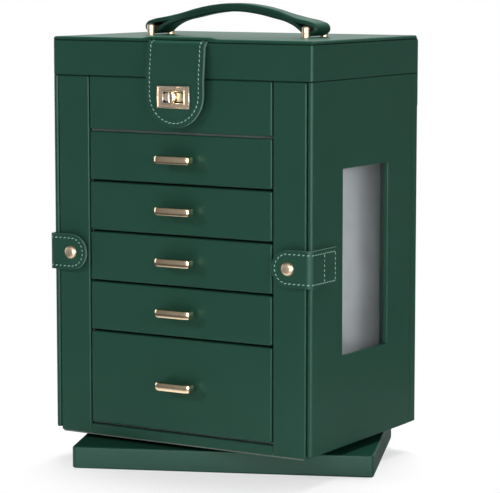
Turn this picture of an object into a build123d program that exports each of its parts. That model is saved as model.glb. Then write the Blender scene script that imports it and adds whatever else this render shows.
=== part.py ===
"""Leather-covered jewellery box with drawers, side doors, a lid and a turntable base.

Millimetres, +Z up. The origin is on the swivel axis at the underside of the base.
The drawers face -Y, and +X is to the right of someone who looks at the drawers.
"""
import os
from math import asin, degrees

from build123d import *

os.makedirs("parts", exist_ok=True)

# Outline of the box, seams and cuts
box_width = 260.0
box_depth = 187.0
body_height = 311.5
lid_seam = 0.6
edge_round = 1.0
cut_overrun = 5.0

# Turntable base
base_width = 262.0
base_depth = 172.0
base_height = 19.2
base_corner = 4.0
base_edge = 1.5
base_turn_degrees = 22.6
turn_gap = 4.0

# Swivel bearing between the base and the box
race_thick = 1.5
race_outer_radius = 60.0
race_clear = 1.0
ball_diameter = 2.2
ball_circle_radius = 50.0
ball_clear = 0.1
ball_count = 24
hub_radius = 38.0
hub_wall = 1.5
lip_reach = 6.0
lip_thick = 1.0
lip_clear = 0.3
lip_room = 2.0
screw_circle_radius = 56.0
screw_head_radius = 2.5
screw_shank_radius = 1.25
screw_clear = 0.05
screw_count = 4
base_screw_length = 10.0
plate_screw_cover = 0.4

# Boards of the carcass
bottom_thick = 3.5
bottom_inset = 1.8
bottom_setback = 0.3
back_thick = 6.0
stile_width = 31.8
front_thick = 6.0
wall_thick = 4.0
shelf_thick = 3.0
shelf_setback = 0.5

# How the front is divided, from the bottom up
rail_height = 7.0
shallow_pitch = 43.7
shallow_count = 4
top_panel_pitch = 47.0
front_gap = 1.8
front_side_gap = 1.0
rail_joint = 0.3

# Drawer trays and their dividers
tray_wall = 3.0
tray_floor = 2.5
tray_side_clear = 1.2
tray_head_clear = 3.0
tray_back_clear = 2.5
slide_clear = 0.3
divider_thick = 2.5
divider_drop = 5.0
divider_clear = 0.3
divider_cells = {1: (3, 2), 2: (2, 2), 3: (3, 1)}

# Drawer pulls
pull_length = 31.0
pull_height = 7.5
pull_depth = 9.5
pull_standoff = 4.5
pull_post_diameter = 5.0
pull_post_spacing = 18.0
pull_bevel = 1.0

# Top tray and its ring cushions
deck_thick = 3.0
top_tray_wall = 3.0
top_tray_floor = 3.0
top_tray_partition = 2.5
ring_zone_width = 112.0
roll_count = 7
roll_base = 5.0
roll_height = 20.0
roll_slot = 3.0
roll_clear = 0.4

# Necklace rails behind the doors
hook_rail_length = 150.0
hook_rail_height = 12.0
hook_rail_thick = 3.0
hook_rail_drop = 34.0
hook_count = 6
hook_pitch = 24.0
hook_diameter = 3.0
hook_reach = 13.0
hook_rise = 6.0

# Lid
lid_height = 33.0
lid_top_thick = 3.6
lid_wall = 6.0
lid_corner = 2.4
lid_top_round = 2.4
lid_groove = 0.8
lining_thick = 3.0
lining_clear = 0.3
mirror_width = 170.0
mirror_depth = 110.0
mirror_thick = 2.0

# Leather hinge strip across the back
strip_thick = 2.5
strip_inset = 1.0
strip_top_inset = 1.5
strip_drop = 32.0
strip_corner = 4.0

# Clasp flap, lock plate and turning tab
flap_width = 57.0
flap_length = 75.0
flap_thick = 3.0
flap_clear = 0.3
flap_standoff = 4.4
flap_bow = 31.6
flap_bow_share = 0.4
flap_root_depth = 4.5
flap_hole_width = 24.0
flap_hole_height = 15.0
lock_drop = 15.9
plate_width = 32.6
plate_height = 19.2
plate_thick = 1.2
plate_rim = 1.3
plate_rim_height = 0.8
slot_width = 19.4
slot_height = 9.2
slot_rim = 1.5
boss_width = 18.0
boss_height = 7.6
boss_recess = 0.7
boss_corner = 2.0
stem_diameter = 4.8
stem_clear = 0.1
stem_seat = 0.5
knob_width = 6.0
knob_height = 13.0
knob_thick = 3.0
knob_round = 0.8
knob_clear = 0.3

# Handle on the lid
post_diameter = 6.2
post_height = 10.0
post_round = 2.0
post_spacing = 158.0
post_gauge = 32.0
bar_diameter = 3.6
bar_height = 6.8
loop_overhang = 2.2
loop_radius = 6.5
loop_bore_radius = 3.4
loop_width = 25.2
loop_rest = 0.3
loop_neck_radius = 3.4
loop_neck_bore_radius = 0.8
loop_throat_share = 0.84
grip_width = 15.0
grip_thick = 7.0
grip_round = 2.4
grip_half_span = 60.0
grip_rise = 21.4
grip_end_rise = 11.0

# Side doors with windows
door_thick = 5.0
door_gap = 0.7
door_back_gap = 0.2
window_width = 80.0
window_height = 159.0
window_sill = 77.5
window_shift = -1.0
pane_lap = 6.0
pane_thick = 1.5

# Snap tabs that hold the doors
tab_height = 31.2
tab_thick = 2.5
tab_clear = 0.3
tab_standoff = 2.5
tab_level = 157.2
tab_front_reach = 36.3
tab_fold = 16.2
tab_fold_gap = 0.3
tab_root_length = 22.0
tab_bend = 2.5
tab_root_corner = 3.0
cap_diameter = 12.0
cap_rim = 1.2
cap_rim_height = 1.0
cap_dome = 1.8
cap_inset = 20.6
stud_diameter = 4.5
stud_recess = 0.8
stud_bore = 7.0

# Places that follow from the sizes above
half_width = box_width / 2
half_depth = box_depth / 2
shallow_height = shallow_count * shallow_pitch
deep_pitch = body_height - rail_height - shallow_height - top_panel_pitch
plate_z = base_height + turn_gap
floor_z = plate_z + bottom_thick
lid_z = floor_z + body_height
body_top_z = lid_z - lid_seam
top_z = lid_z + lid_height
front_y = -half_depth
front_back_y = front_y + front_thick
back_inner_y = half_depth - back_thick
door_inner_x = half_width - door_thick
stile_outer_x = door_inner_x - door_gap
stile_inner_x = stile_outer_x - stile_width
wall_outer_x = stile_inner_x + wall_thick
rail_top_z = floor_z + rail_height - front_gap / 2
tray_shelf_z = lid_z - top_panel_pitch - shelf_thick / 2
race_top_z = base_height + race_thick
upper_race_z = plate_z - race_thick
ball_z = (race_top_z + upper_race_z) / 2
lock_z = lid_z - lock_drop
flap_inner_y = front_y - flap_standoff
flap_outer_y = flap_inner_y - flap_thick
tab_z = floor_z + tab_level


def save(builder, name):
    """Label a finished piece and write it out."""
    builder.part.label = name
    export_step(builder.part, f"parts/{name}.step")


def save_pair(builder, name):
    """Write a right-hand piece and its mirror image on the left."""
    with BuildPart() as left:
        mirror(builder.part, about=Plane.YZ)
    save(builder, f"right_{name}")
    save(left, f"left_{name}")


def slab(x, y, z, mode=Mode.ADD):
    """A block between three pairs of limits, in the part that is open."""
    with Locations((sum(x) / 2, sum(y) / 2, sum(z) / 2)):
        Box(x[1] - x[0], y[1] - y[0], z[1] - z[0], mode=mode)


def front_board(half, low, high):
    """A covered board in the front of the box, with a padded edge towards the viewer."""
    with BuildPart() as board:
        slab((-half, half), (front_y, front_back_y), (low, high))
        fillet(board.faces().sort_by(Axis.Y)[0].edges(), edge_round)
    return board


# Turntable base: a covered board with screw holes for the lower race
with BuildPart() as base_plinth:
    with BuildSketch(Plane.XY.rotated((0, 0, base_turn_degrees))):
        RectangleRounded(base_width, base_depth, base_corner)
    extrude(amount=base_height)
    fillet(base_plinth.faces().sort_by(Axis.Z)[-1].edges(), base_edge)
    fillet(base_plinth.faces().sort_by(Axis.Z)[0].edges(), base_edge)
    with BuildSketch(Plane.XY.offset(base_height)):
        with PolarLocations(screw_circle_radius, screw_count, start_angle=45):
            Circle(screw_shank_radius + screw_clear)
    extrude(amount=-base_screw_length, mode=Mode.SUBTRACT)
save(base_plinth, "base_plinth")

# Lower race: its hub passes through the upper race and ends in a lip that keeps the two together
lip_z = plate_z + lip_clear
hub_bore = hub_radius - hub_wall
with BuildPart() as bearing_lower_race:
    with BuildSketch(Plane.XZ):
        with BuildLine():
            Polyline(
                (hub_bore, base_height),
                (race_outer_radius, base_height),
                (race_outer_radius, race_top_z),
                (hub_radius, race_top_z),
                (hub_radius, lip_z),
                (hub_radius + lip_reach, lip_z),
                (hub_radius + lip_reach, lip_z + lip_thick),
                (hub_bore, lip_z + lip_thick),
                close=True,
            )
        make_face()
        with Locations((ball_circle_radius, ball_z)):
            Circle(ball_diameter / 2 + ball_clear, mode=Mode.SUBTRACT)
    revolve(axis=Axis.Z)
    with Locations((0, 0, race_top_z)):
        with PolarLocations(screw_circle_radius, screw_count, start_angle=45):
            CounterSinkHole(
                screw_shank_radius + screw_clear,
                screw_head_radius + screw_clear,
                depth=race_thick + cut_overrun,
                counter_sink_angle=90,
            )
save(bearing_lower_race, "bearing_lower_race")

with BuildPart() as bearing_balls:
    with Locations((0, 0, ball_z)):
        with PolarLocations(ball_circle_radius, ball_count):
            Sphere(ball_diameter / 2)
save(bearing_balls, "bearing_balls")

with BuildPart() as bearing_upper_race:
    with BuildSketch(Plane.XY.offset(upper_race_z)):
        Circle(race_outer_radius)
        Circle(hub_radius + race_clear, mode=Mode.SUBTRACT)
    extrude(amount=race_thick)
    with BuildSketch(Plane.XZ):
        with Locations((ball_circle_radius, ball_z)):
            Circle(ball_diameter / 2 + ball_clear)
    revolve(axis=Axis.Z, mode=Mode.SUBTRACT)
    with Locations(Location((0, 0, upper_race_z), (180, 0, 0))):
        with PolarLocations(screw_circle_radius, screw_count):
            CounterSinkHole(
                screw_shank_radius + screw_clear,
                screw_head_radius + screw_clear,
                depth=race_thick + cut_overrun,
                counter_sink_angle=90,
            )
save(bearing_upper_race, "bearing_upper_race")


def race_screw(length):
    """A countersunk screw with its head at the origin and its point down."""
    head_depth = screw_head_radius - screw_shank_radius
    with BuildPart() as screw:
        with BuildSketch(Plane.XZ):
            with BuildLine():
                Polyline(
                    (0, 0),
                    (screw_head_radius, 0),
                    (screw_shank_radius, -head_depth),
                    (screw_shank_radius, -length),
                    (0, -length),
                    close=True,
                )
            make_face()
        revolve(axis=Axis.Z)
    return screw


lower_screw = race_screw(base_screw_length)
with BuildPart() as lower_race_screws:
    with Locations((0, 0, race_top_z)):
        with PolarLocations(screw_circle_radius, screw_count, start_angle=45):
            add(lower_screw.part)
save(lower_race_screws, "lower_race_screws")

upper_screw = race_screw(race_thick + bottom_thick - plate_screw_cover)
with BuildPart() as upper_race_screws:
    with Locations(Location((0, 0, upper_race_z), (180, 0, 0))):
        with PolarLocations(screw_circle_radius, screw_count):
            add(upper_screw.part)
save(upper_race_screws, "upper_race_screws")

# Bottom board with the rail under the deep drawer, open in the middle for the bearing's lip
bottom_half = stile_outer_x - bottom_inset
rail_half = stile_inner_x - rail_joint
with BuildPart() as bottom_plate:
    slab(
        (-bottom_half, bottom_half),
        (front_y + bottom_setback, half_depth - bottom_setback),
        (plate_z, floor_z),
    )
    slab((-rail_half, rail_half), (front_y + bottom_setback, front_back_y), (floor_z, rail_top_z))
    with BuildSketch(Plane.XY.offset(plate_z)):
        Circle(hub_radius + lip_reach + lip_room)
        with PolarLocations(screw_circle_radius, screw_count):
            Circle(screw_shank_radius + screw_clear)
    extrude(amount=bottom_thick, mode=Mode.SUBTRACT)
save(bottom_plate, "bottom_plate")

# Carcass boards
with BuildPart() as back_panel:
    slab((-half_width, half_width), (back_inner_y, half_depth), (floor_z, body_top_z))
save(back_panel, "back_panel")

deck_z = body_top_z - deck_thick
with BuildPart() as inner_wall:
    slab((stile_inner_x, wall_outer_x), (front_back_y, back_inner_y), (floor_z, deck_z))
save_pair(inner_wall, "inner_wall")

with BuildPart() as stile:
    slab((stile_inner_x, stile_outer_x), (front_y, front_back_y), (floor_z, body_top_z))
    fillet(stile.faces().sort_by(Axis.Y)[0].edges(), edge_round)
save_pair(stile, "stile")

front_half = stile_inner_x - front_side_gap
top_panel = front_board(front_half, lid_z - top_panel_pitch + front_gap / 2, body_top_z)
save(top_panel, "top_front_panel")

# Shelves, one behind each gap line, and the board that the deep drawer runs on
shelf_y = (front_back_y + shelf_setback, back_inner_y)
shallow_floor_z = floor_z + rail_height + deep_pitch
with BuildPart() as drawer_shelves:
    slab((-stile_inner_x, stile_inner_x), shelf_y, (floor_z, rail_top_z))
    for row in range(shallow_count):
        gap_z = shallow_floor_z + row * shallow_pitch
        shelf_z = (gap_z - shelf_thick / 2, gap_z + shelf_thick / 2)
        slab((-stile_inner_x, stile_inner_x), shelf_y, shelf_z)
save(drawer_shelves, "drawer_shelves")

# Top tray: a lined box hung from a deck that also covers the side compartments
tray_half = stile_inner_x
tray_y = (front_back_y, back_inner_y)
well_half = tray_half - top_tray_wall
well_y = (tray_y[0] + top_tray_wall, tray_y[1] - top_tray_wall)
well_z = tray_shelf_z + top_tray_floor
ring_end_x = -well_half + ring_zone_width
with BuildPart() as top_tray:
    slab((-tray_half, tray_half), tray_y, (tray_shelf_z, body_top_z))
    slab((-stile_outer_x, stile_outer_x), tray_y, (deck_z, body_top_z))
    slab((-well_half, ring_end_x), well_y, (well_z, body_top_z + cut_overrun), mode=Mode.SUBTRACT)
    slab(
        (ring_end_x + top_tray_partition, well_half),
        (well_y[0], -top_tray_partition / 2),
        (well_z, body_top_z + cut_overrun),
        mode=Mode.SUBTRACT,
    )
    slab(
        (ring_end_x + top_tray_partition, well_half),
        (top_tray_partition / 2, well_y[1]),
        (well_z, body_top_z + cut_overrun),
        mode=Mode.SUBTRACT,
    )
save(top_tray, "top_tray")

# Ring cushions: a row of padded rolls with a slot between each two
roll_y0 = well_y[0] + roll_clear
roll_y1 = well_y[1] - roll_clear
roll_width = (roll_y1 - roll_y0 - (roll_count - 1) * roll_slot) / roll_count
roll_foot_z = well_z + roll_base
roll_shoulder_z = well_z + roll_height - roll_width / 2
with BuildPart() as ring_cushions:
    with BuildSketch(Plane.YZ.offset(-well_half + roll_clear)):
        with BuildLine():
            Line((roll_y1, well_z), (roll_y0, well_z))
            Line((roll_y0, well_z), (roll_y0, roll_shoulder_z))
            for roll in range(roll_count):
                y0 = roll_y0 + roll * (roll_width + roll_slot)
                y1 = y0 + roll_width
                ThreePointArc(
                    (y0, roll_shoulder_z), ((y0 + y1) / 2, well_z + roll_height), (y1, roll_shoulder_z)
                )
                if roll < roll_count - 1:
                    Line((y1, roll_shoulder_z), (y1, roll_foot_z))
                    Line((y1, roll_foot_z), (y1 + roll_slot, roll_foot_z))
                    Line((y1 + roll_slot, roll_foot_z), (y1 + roll_slot, roll_shoulder_z))
            Line((roll_y1, roll_shoulder_z), (roll_y1, well_z))
        make_face()
    extrude(amount=ring_zone_width - 2 * roll_clear)
save(ring_cushions, "ring_cushions")

# Necklace rails: upturned pegs on a bar, on the outer side of each inner wall
hook_z = lid_z - hook_rail_drop
peg_x = wall_outer_x + hook_rail_thick
with BuildPart() as necklace_rail:
    slab(
        (wall_outer_x, peg_x),
        (-hook_rail_length / 2, hook_rail_length / 2),
        (hook_z - hook_rail_height / 2, hook_z + hook_rail_height / 2),
    )
    fillet(necklace_rail.faces().sort_by(Axis.X)[-1].edges(), edge_round)
    with Locations((peg_x, 0, hook_z)):
        with GridLocations(0, hook_pitch, 1, hook_count):
            with Locations(Location((hook_reach / 2, 0, 0), (0, 90, 0))):
                Cylinder(hook_diameter / 2, hook_reach)
            with Locations((hook_reach, 0, 0)):
                Sphere(hook_diameter / 2)
            with Locations((hook_reach, 0, hook_rise / 2)):
                Cylinder(hook_diameter / 2, hook_rise)
save_pair(necklace_rail, "necklace_rail")


def drawer_pull(level):
    """A bevelled metal bar on two posts."""
    bar_y = front_y - pull_standoff - pull_depth / 2
    with BuildPart() as pull:
        with Locations((0, bar_y, level)):
            Box(pull_length, pull_depth, pull_height)
        chamfer(pull.edges(), pull_bevel)
        with Locations(Location((0, front_y, level), (90, 0, 0))):
            with GridLocations(pull_post_spacing, 0, 2, 1):
                Cylinder(
                    pull_post_diameter / 2,
                    pull_standoff,
                    align=(Align.CENTER, Align.CENTER, Align.MIN),
                )
    return pull


def drawer_tray(low, high):
    """An open box behind a drawer front."""
    half = stile_inner_x - tray_side_clear
    rear = back_inner_y - tray_back_clear
    with BuildPart() as tray:
        slab((-half, half), (front_back_y, rear), (low, high))
        slab(
            (-half + tray_wall, half - tray_wall),
            (front_back_y + tray_wall, rear - tray_wall),
            (low + tray_floor, high + cut_overrun),
            mode=Mode.SUBTRACT,
        )
    return tray


def drawer_dividers(low, high, columns, rows):
    """Crossed boards that stand on the floor of a tray."""
    half = stile_inner_x - tray_side_clear - tray_wall - divider_clear
    y0 = front_back_y + tray_wall + divider_clear
    y1 = back_inner_y - tray_back_clear - tray_wall - divider_clear
    z = (low + tray_floor, high - divider_drop)
    with BuildPart() as dividers:
        for column in range(1, columns):
            x = -half + 2 * half * column / columns
            slab((x - divider_thick / 2, x + divider_thick / 2), (y0, y1), z)
        for row in range(1, rows):
            y = y0 + (y1 - y0) * row / rows
            slab((-half, half), (y - divider_thick / 2, y + divider_thick / 2), z)
    return dividers


# Drawers, numbered from the top: four shallow ones and a deep one
drawer_floors = []
for row in range(shallow_count):
    gap_z = shallow_floor_z + (shallow_count - 1 - row) * shallow_pitch
    drawer_floors.append((gap_z, shallow_pitch, gap_z + shelf_thick / 2))
drawer_floors.append((floor_z + rail_height, deep_pitch, rail_top_z))
for number, (gap_z, pitch, shelf_top) in enumerate(drawer_floors, start=1):
    low = gap_z + front_gap / 2
    high = gap_z + pitch - front_gap / 2
    tray_low = shelf_top + slide_clear
    tray_high = gap_z + pitch - shelf_thick / 2 - tray_head_clear
    save(front_board(front_half, low, high), f"drawer_{number}_front")
    save(drawer_pull((low + high) / 2), f"drawer_{number}_pull")
    save(drawer_tray(tray_low, tray_high), f"drawer_{number}_tray")
    if number in divider_cells:
        columns, rows = divider_cells[number]
        save(drawer_dividers(tray_low, tray_high, columns, rows), f"drawer_{number}_dividers")

# Lid: a frame of four walls under a top board, with a groove between them and a pocket for the flap's root
lid_board_z = top_z - lid_top_thick
flap_top_z = lid_board_z - flap_thick
root_x = (-flap_width / 2, flap_width / 2)
root_y = (front_y, front_y + flap_root_depth)
root_z = (flap_top_z, lid_board_z)
with BuildPart() as lid_frame:
    with BuildSketch(Plane.XY.offset(lid_z)):
        RectangleRounded(box_width, box_depth, lid_corner)
        Rectangle(box_width - 2 * lid_wall, box_depth - 2 * lid_wall, mode=Mode.SUBTRACT)
    extrude(amount=lid_board_z - lid_z)
    chamfer(lid_frame.faces().sort_by(Axis.Z)[-1].outer_wire().edges(), lid_groove)
    fillet(lid_frame.faces().sort_by(Axis.Z)[0].outer_wire().edges(), lid_groove)
    slab(root_x, root_y, root_z, mode=Mode.SUBTRACT)
save(lid_frame, "lid_frame")

with BuildPart() as lid_top:
    with BuildSketch(Plane.XY.offset(lid_board_z)):
        RectangleRounded(box_width, box_depth, lid_corner)
    extrude(amount=lid_top_thick)
    fillet(lid_top.faces().sort_by(Axis.Z)[-1].edges(), lid_top_round)
    chamfer(lid_top.faces().sort_by(Axis.Z)[0].edges(), lid_groove)
save(lid_top, "lid_top")

lining_half = half_width - lid_wall - lining_clear
lining_half_y = half_depth - lid_wall - lining_clear
lining_z = lid_board_z - lining_thick
with BuildPart() as lid_lining:
    slab((-lining_half, lining_half), (-lining_half_y, lining_half_y), (lining_z, lid_board_z))
save(lid_lining, "lid_lining")

with BuildPart() as lid_mirror:
    slab(
        (-mirror_width / 2, mirror_width / 2),
        (-mirror_depth / 2, mirror_depth / 2),
        (lining_z - mirror_thick, lining_z),
    )
save(lid_mirror, "lid_mirror")

# Leather hinge strip: one half on the lid, one on the back panel, folding at the outer face
strip_half = half_width - strip_inset
with BuildPart() as strip_upper:
    slab(
        (-strip_half, strip_half),
        (half_depth, half_depth + strip_thick),
        (lid_z, top_z - strip_top_inset),
    )
save(strip_upper, "lid_hinge_strip_upper")

with BuildPart() as strip_lower:
    slab(
        (-strip_half, strip_half),
        (half_depth, half_depth + strip_thick),
        (lid_z - strip_drop, lid_z),
    )
    low_corners = strip_lower.edges().filter_by(Axis.Y).group_by(Axis.Z)[0]
    fillet(low_corners, strip_corner)
save(strip_lower, "lid_hinge_strip_lower")

# Clasp flap: a root held under the lid's top board, and a loose end that bows out over the front
with BuildPart() as clasp_flap_root:
    slab(root_x, root_y, root_z)
save(clasp_flap_root, "clasp_flap_root")

flap_tip_z = top_z - flap_length
flap_arc_z = flap_tip_z + flap_width / 2
bow_end_z = flap_top_z - flap_bow
bow_pull = flap_bow_share * flap_bow
with BuildPart() as clasp_flap:
    with BuildSketch(Plane.YZ):
        with BuildLine():
            inner, outer = [
                Bezier(
                    (front_y - flap_clear - depth, flap_top_z),
                    (front_y - flap_clear - depth, flap_top_z - bow_pull),
                    (flap_inner_y - depth, bow_end_z + bow_pull),
                    (flap_inner_y - depth, bow_end_z),
                )
                for depth in (0, flap_thick)
            ]
            Line(inner @ 0, outer @ 0)
            Polyline(inner @ 1, (flap_inner_y, flap_tip_z), (flap_outer_y, flap_tip_z), outer @ 1)
        make_face()
    extrude(amount=flap_width / 2, both=True)
    with BuildSketch(Plane.XZ):
        with Locations((0, flap_arc_z)):
            Circle(flap_width / 2)
            Rectangle(flap_width, flap_length, align=(Align.CENTER, Align.MIN))
    extrude(amount=box_depth, both=True, mode=Mode.INTERSECT)
    slab(
        (-flap_hole_width / 2, flap_hole_width / 2),
        (flap_outer_y - cut_overrun, flap_inner_y + cut_overrun),
        (lock_z - flap_hole_height / 2, lock_z + flap_hole_height / 2),
        mode=Mode.SUBTRACT,
    )
save(clasp_flap, "clasp_flap")

# Lock plate on the flap: a raised rim at its edge and another round the slot
plate_y = flap_outer_y - plate_thick
with BuildPart() as clasp_plate:
    with BuildSketch(Plane.XZ.offset(-flap_outer_y)):
        with Locations((0, lock_z)):
            Rectangle(plate_width, plate_height)
    extrude(amount=plate_thick)
    with BuildSketch(Plane.XZ.offset(-plate_y)):
        with Locations((0, lock_z)):
            Rectangle(plate_width, plate_height)
            Rectangle(plate_width - 2 * plate_rim, plate_height - 2 * plate_rim, mode=Mode.SUBTRACT)
            Rectangle(slot_width + 2 * slot_rim, slot_height + 2 * slot_rim)
    extrude(amount=plate_rim_height)
    slab(
        (-slot_width / 2, slot_width / 2),
        (plate_y - cut_overrun, flap_outer_y + cut_overrun),
        (lock_z - slot_height / 2, lock_z + slot_height / 2),
        mode=Mode.SUBTRACT,
    )
save(clasp_plate, "clasp_plate")

# Lock boss on the top front panel, inside the slot, with the bore for the turning tab's stem
boss_reach = front_y - plate_y - boss_recess
with BuildPart() as lock_boss:
    with BuildSketch(Plane.XZ.offset(-front_y)):
        with Locations((0, lock_z)):
            RectangleRounded(boss_width, boss_height, boss_corner)
    extrude(amount=boss_reach)
    with BuildSketch(Plane.XZ.offset(-front_y + stem_seat)):
        with Locations((0, lock_z)):
            Circle(stem_diameter / 2 + stem_clear)
    extrude(amount=boss_reach, mode=Mode.SUBTRACT)
save(lock_boss, "lock_boss")

stem_y = front_y - stem_seat - stem_clear
knob_y = plate_y - plate_rim_height - knob_clear
with BuildPart() as turn_knob:
    with BuildSketch(Plane.XZ.offset(-knob_y)):
        with Locations((0, lock_z)):
            Ellipse(knob_width / 2, knob_height / 2)
    extrude(amount=knob_thick)
    fillet(turn_knob.faces().sort_by(Axis.Y)[0].edges(), knob_round)
    with BuildSketch(Plane.XZ.offset(-stem_y)):
        with Locations((0, lock_z)):
            Circle(stem_diameter / 2)
    extrude(amount=stem_y - knob_y)
save(turn_knob, "turn_knob")

# Handle: two metal brackets with a cross bar each, and a strap with a loop round each bar
with BuildPart() as handle_brackets:
    with BuildSketch(Plane.XY.offset(top_z)):
        with GridLocations(post_spacing, post_gauge, 2, 2):
            Circle(post_diameter / 2)
    extrude(amount=post_height)
    fillet(handle_brackets.faces().sort_by(Axis.Z)[-4:].edges(), post_round)
    with BuildSketch(Plane.XZ):
        with Locations((0, top_z + bar_height)):
            with GridLocations(post_spacing, 0, 2, 1):
                Circle(bar_diameter / 2)
    extrude(amount=post_gauge / 2, both=True)
save(handle_brackets, "handle_brackets")

loop_x = post_spacing / 2 + loop_overhang
loop_z = top_z + loop_rest + loop_radius
neck_z = top_z + grip_end_rise + grip_thick / 2
throat_x = loop_x + loop_throat_share * (grip_half_span - loop_x)
throat_z = loop_z + loop_throat_share * (neck_z - loop_z)
grip_low_z = top_z + grip_rise
grip_end_z = top_z + grip_end_rise
with BuildPart() as handle_strap:
    with BuildSketch(Plane.XZ):
        with BuildLine():
            under = ThreePointArc(
                (-grip_half_span, grip_end_z), (0, grip_low_z), (grip_half_span, grip_end_z)
            )
            over = ThreePointArc(
                (-grip_half_span, grip_end_z + grip_thick),
                (0, grip_low_z + grip_thick),
                (grip_half_span, grip_end_z + grip_thick),
            )
            Line(under @ 0, over @ 0)
            Line(under @ 1, over @ 1)
        make_face()
    extrude(amount=grip_width / 2, both=True)
    fillet(handle_strap.edges().filter_by(GeomType.CIRCLE), grip_round)
    for hand in (-1, 1):
        with BuildSketch(Plane.XZ):
            with Locations((hand * loop_x, loop_z)):
                Circle(loop_radius)
            with Locations((hand * grip_half_span, neck_z)):
                Circle(loop_neck_radius)
            make_hull()
        extrude(amount=loop_width / 2, both=True)
        with BuildSketch(Plane.XZ):
            with Locations((hand * loop_x, loop_z)):
                Circle(loop_bore_radius)
            with Locations((hand * throat_x, throat_z)):
                Circle(loop_neck_bore_radius)
            make_hull()
        extrude(amount=loop_width, both=True, mode=Mode.SUBTRACT)
save(handle_strap, "handle_strap")

# Side doors: a covered board with a window, and a clear pane glued over it from inside
window_y = (window_shift - window_width / 2, window_shift + window_width / 2)
window_z = (floor_z + window_sill, floor_z + window_sill + window_height)
with BuildPart() as door_panel:
    slab(
        (door_inner_x, half_width),
        (front_y, back_inner_y - door_back_gap),
        (floor_z, body_top_z),
    )
    slab(
        (door_inner_x - cut_overrun, half_width + cut_overrun),
        window_y,
        window_z,
        mode=Mode.SUBTRACT,
    )
    fillet(door_panel.faces().sort_by(Axis.X)[-1].edges(), edge_round)
save_pair(door_panel, "door_panel")

with BuildPart() as window_pane:
    slab(
        (door_inner_x - pane_thick, door_inner_x),
        (window_y[0] - pane_lap, window_y[1] + pane_lap),
        (window_z[0] - pane_lap, window_z[1] + pane_lap),
    )
save_pair(window_pane, "window_pane")

# Snap tabs: a root sewn on the door, and a loose end that folds round the corner to the stile
fold_y = front_y + tab_fold
with BuildPart() as tab_root:
    slab(
        (half_width, half_width + tab_thick),
        (fold_y + tab_fold_gap, fold_y + tab_root_length),
        (tab_z - tab_height / 2, tab_z + tab_height / 2),
    )
    far_corners = tab_root.edges().filter_by(Axis.X).group_by(Axis.Y)[-1]
    fillet(far_corners, tab_root_corner)
save_pair(tab_root, "tab_root")

tab_inner_x = half_width + tab_clear
tab_outer_x = tab_inner_x + tab_thick
tab_inner_y = front_y - tab_standoff
tab_outer_y = tab_inner_y - tab_thick
tab_tip_x = half_width - tab_front_reach
tab_arc_x = tab_tip_x + tab_height / 2
cap_x = half_width - cap_inset
with BuildPart() as tab_strap:
    with BuildSketch(Plane.XY.offset(tab_z - tab_height / 2)) as tab_bent:
        with BuildLine():
            Polyline(
                (tab_inner_x, fold_y),
                (tab_outer_x, fold_y),
                (tab_outer_x, tab_outer_y),
                (tab_tip_x, tab_outer_y),
                (tab_tip_x, tab_inner_y),
                (tab_inner_x, tab_inner_y),
                close=True,
            )
        make_face()
        fillet(tab_bent.vertices().sort_by_distance((tab_outer_x, tab_outer_y))[0], tab_bend + tab_thick)
        fillet(tab_bent.vertices().sort_by_distance((tab_inner_x, tab_inner_y))[0], tab_bend)
    extrude(amount=tab_height)
    with BuildSketch(Plane.XZ):
        with Locations((tab_arc_x, tab_z)):
            Circle(tab_height / 2)
            Rectangle(box_width, tab_height, align=(Align.MIN, Align.CENTER))
    extrude(amount=box_depth, both=True, mode=Mode.INTERSECT)
    with BuildSketch(Plane.XZ.offset(-tab_inner_y)):
        with Locations((cap_x, tab_z)):
            Circle(stud_bore / 2)
    extrude(amount=tab_thick, mode=Mode.SUBTRACT)
save_pair(tab_strap, "tab_strap")

# Snap cap: a rimmed dome on the loose end, over the bore for the stud
dome_radius = cap_diameter / 2 - cap_rim
sphere_radius = (dome_radius**2 + cap_dome**2) / (2 * cap_dome)
sphere_z = cap_rim_height + cap_dome - sphere_radius
dome_degrees = degrees(asin(dome_radius / sphere_radius))
with BuildPart() as snap_cap:
    with BuildSketch(Plane.XZ):
        with BuildLine():
            dome = CenterArc((0, sphere_z), sphere_radius, 90 - dome_degrees, dome_degrees)
            Polyline(
                dome @ 1, (0, 0), (cap_diameter / 2, 0), (cap_diameter / 2, cap_rim_height), dome @ 0
            )
        make_face()
    revolve(axis=Axis.Z)
cap_place = Location((cap_x, tab_outer_y, tab_z), (90, 0, 0))
with BuildPart() as tab_cap:
    with Locations(cap_place):
        add(snap_cap.part)
save_pair(tab_cap, "snap_cap")

with BuildPart() as snap_studs:
    with BuildSketch(Plane.XZ.offset(-front_y)):
        with Locations((0, tab_z)):
            with GridLocations(2 * cap_x, 0, 2, 1):
                Circle(stud_diameter / 2)
    extrude(amount=tab_standoff + tab_thick - stud_recess)
save(snap_studs, "snap_studs")
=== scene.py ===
# %% Load the frame
import random
from math import cos, pi, radians, sin

import bmesh
import bpy
from mathutils import Matrix, Vector


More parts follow.
